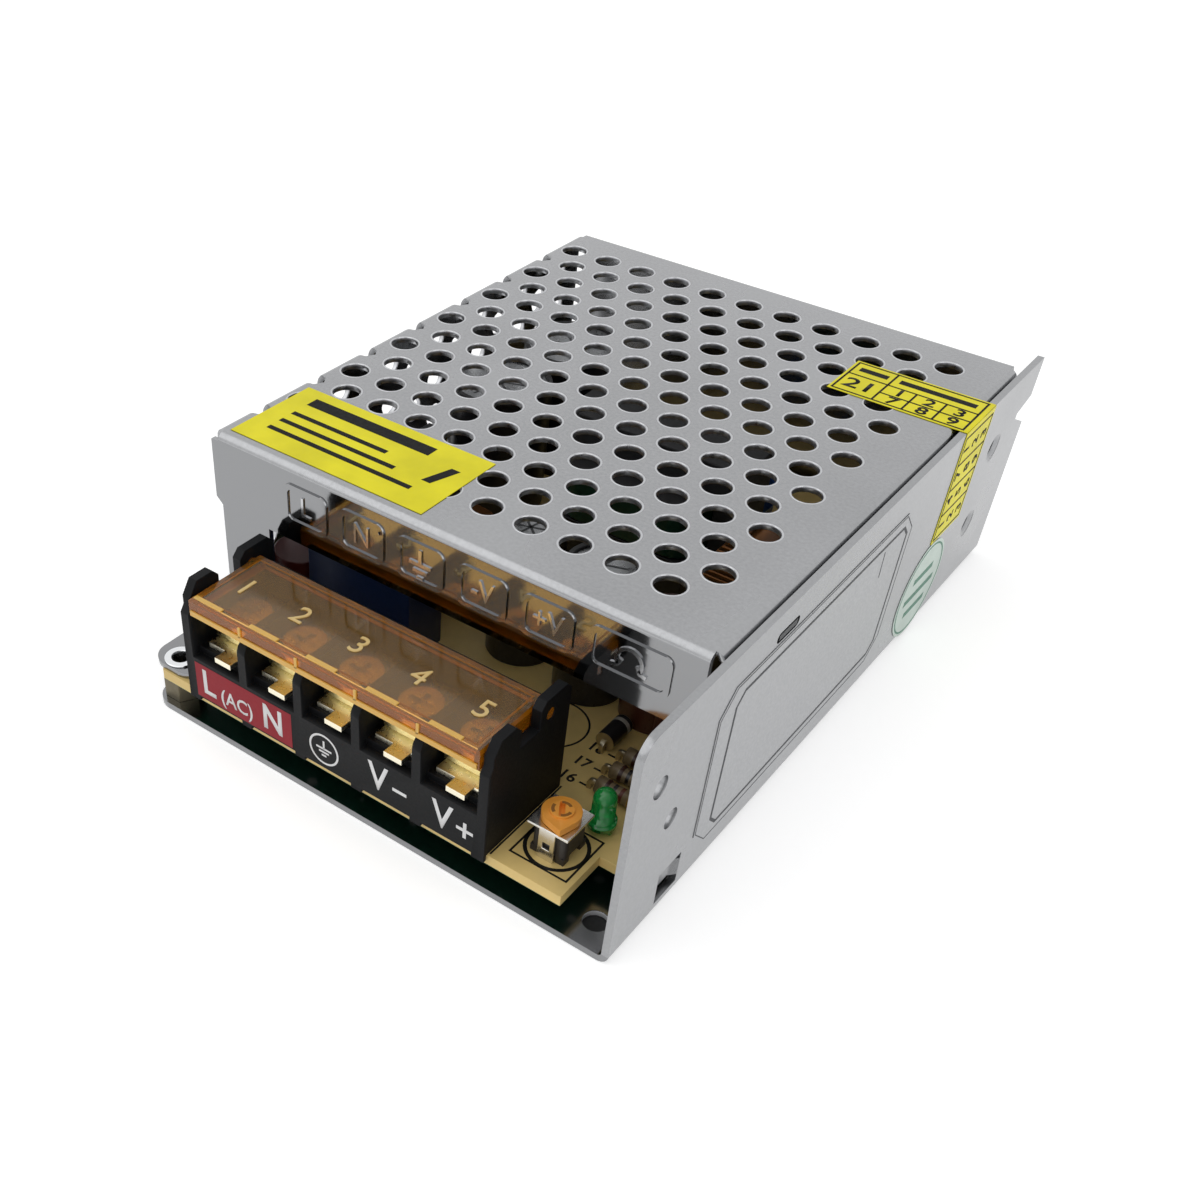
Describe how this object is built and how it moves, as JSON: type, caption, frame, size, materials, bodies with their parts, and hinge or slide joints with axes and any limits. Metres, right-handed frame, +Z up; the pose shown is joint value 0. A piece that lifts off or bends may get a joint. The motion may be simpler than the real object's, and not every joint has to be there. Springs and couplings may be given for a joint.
{
  "type": "mesh case switching power supply",
  "caption": "Open-ended switching power supply in a perforated folded metal case, with a barrier terminal block under a hinged amber lid, trimmer and indicator lamp.",
  "frame": {"origin": "centre of the case's underside", "axes": "+X along the terminals towards the solid wall, +Y from the terminals to the back, +Z up"},
  "size_m": [0.0781, 0.112, 0.0341],
  "materials": {
    "chassis_metal": "satin",
    "cover_metal": "satin",
    "board_laminate": "satin",
    "spacer_metal": "satin",
    "screw_metal": "polished",
    "film_plastic": "satin",
    "block_plastic": "satin",
    "contact_metal": "polished",
    "clamp_metal": "polished",
    "lid_plastic": "clear",
    "trimmer_plastic": "matt",
    "trimmer_metal": "polished",
    "rotor_plastic": "satin",
    "lamp_plastic": "clear",
    "resistor_coat": "satin",
    "diode_plastic": "satin",
    "can_black": "satin",
    "can_brown": "satin",
    "film_box": "satin",
    "fuse_plastic": "satin",
    "thermistor_coat": "satin",
    "ferrite": "matt",
    "copper_wire": "enamelled",
    "package_plastic": "matt",
    "bobbin_plastic": "satin",
    "winding_tape": "satin",
    "inductor_coat": "satin",
    "disc_coat": "satin",
    "pad_rubber": "matt",
    "label_silver": "satin",
    "label_pale": "satin",
    "label_yellow": "satin"
  },
  "bodies": {
    "case": {"base_chassis": "chassis_metal", "perforated_cover": "cover_metal", "circuit_board": "board_laminate", "board_spacers": "spacer_metal", "board_screws": "screw_metal", "foot_eyelet": "screw_metal", "insulating_film": "film_plastic", "terminal_block_body": "block_plastic", "terminal_contacts": "contact_metal", "clamp_washers": "clamp_metal", "terminal_screws": "screw_metal", "trimmer_base": "trimmer_plastic", "trimmer_frame": "trimmer_metal", "indicator_lamp": "lamp_plastic", "band_resistors": "resistor_coat", "axial_diode": "diode_plastic", "output_capacitors": "can_black", "brown_capacitor": "can_brown", "small_brown_capacitor": "can_brown", "bulk_capacitors": "can_black", "film_capacitor": "film_box", "fuse": "fuse_plastic", "thermistor": "thermistor_coat", "choke_core": "ferrite", "choke_windings": "copper_wire", "bridge_rectifier": "package_plastic", "transformer_core": "ferrite", "transformer_bobbin": "bobbin_plastic", "transformer_winding": "winding_tape", "inductor_core": "inductor_coat", "inductor_winding": "copper_wire", "controller_chip": "package_plastic", "optocoupler": "package_plastic", "disc_capacitors": "disc_coat", "output_rectifier": "package_plastic", "switching_transistor": "package_plastic", "insulating_pads": "pad_rubber", "device_screws": "screw_metal", "side_label": "label_silver", "inspection_sticker": "label_pale", "yellow_sticker": "label_yellow", "date_sticker": "label_yellow"},
    "lid": {"terminal_cover": "lid_plastic"},
    "rotor": {"trimmer_rotor": "rotor_plastic"}
  },
  "joints": [
    {"name": "lid_hinge", "type": "hinge", "parent": "case", "child": "lid", "pos_m": [-0.0041, -0.0439, 0.0208], "axis": [-1, 0, 0], "range_deg": [0, 100]},
    {"name": "rotor_turn", "type": "hinge", "parent": "case", "child": "rotor", "pos_m": [0.02645, -0.0487, 0.0111], "axis": [0, 0, 1], "range_deg": [-120, 120]}
  ]
}
